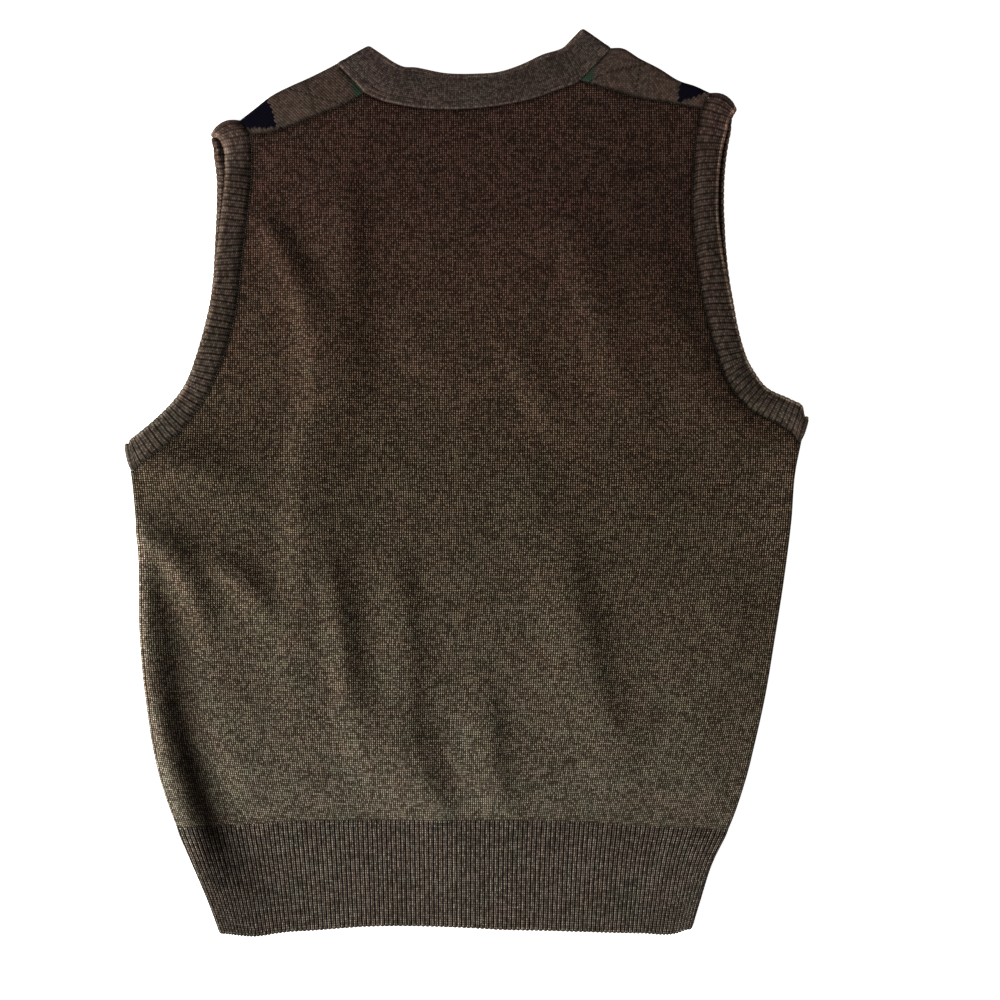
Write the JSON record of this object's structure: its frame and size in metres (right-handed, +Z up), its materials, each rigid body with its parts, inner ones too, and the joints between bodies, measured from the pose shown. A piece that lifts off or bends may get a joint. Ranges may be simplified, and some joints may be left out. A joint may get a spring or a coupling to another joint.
{
  "type": "sleeveless knitted sweater vest laid flat",
  "caption": "Fine-knit sleeveless V-neck sweater vest, laid flat with its back up, with rib hem, rib armhole bands and argyle front.",
  "frame": {"origin": "centre of the vest's outline in plan, on the surface that it lies on", "axes": "+X towards the wearer's right side, +Y from the hem towards the neck, +Z up from the surface; the front lies down and the back faces up"},
  "size_m": [0.5256, 0.6985, 0.0076],
  "materials": {
    "back_jersey": "fine marled brown wool jersey, matte with a soft nap",
    "argyle_jersey": "fine brown wool jersey with navy and dark green diamonds and thin dark cross lines",
    "rib_knit": "marled brown wool rib knit, matte",
    "neckband_knit": "dense plain marled brown wool knit, matte"
  },
  "bodies": {
    "root": {"back_panel": "back_jersey", "front_panel": "argyle_jersey", "hem_rib_back": "rib_knit", "hem_rib_front": "rib_knit", "armhole_band_left": "rib_knit", "armhole_band_right": "rib_knit", "neckband": "neckband_knit"}
  },
  "joints": []
}
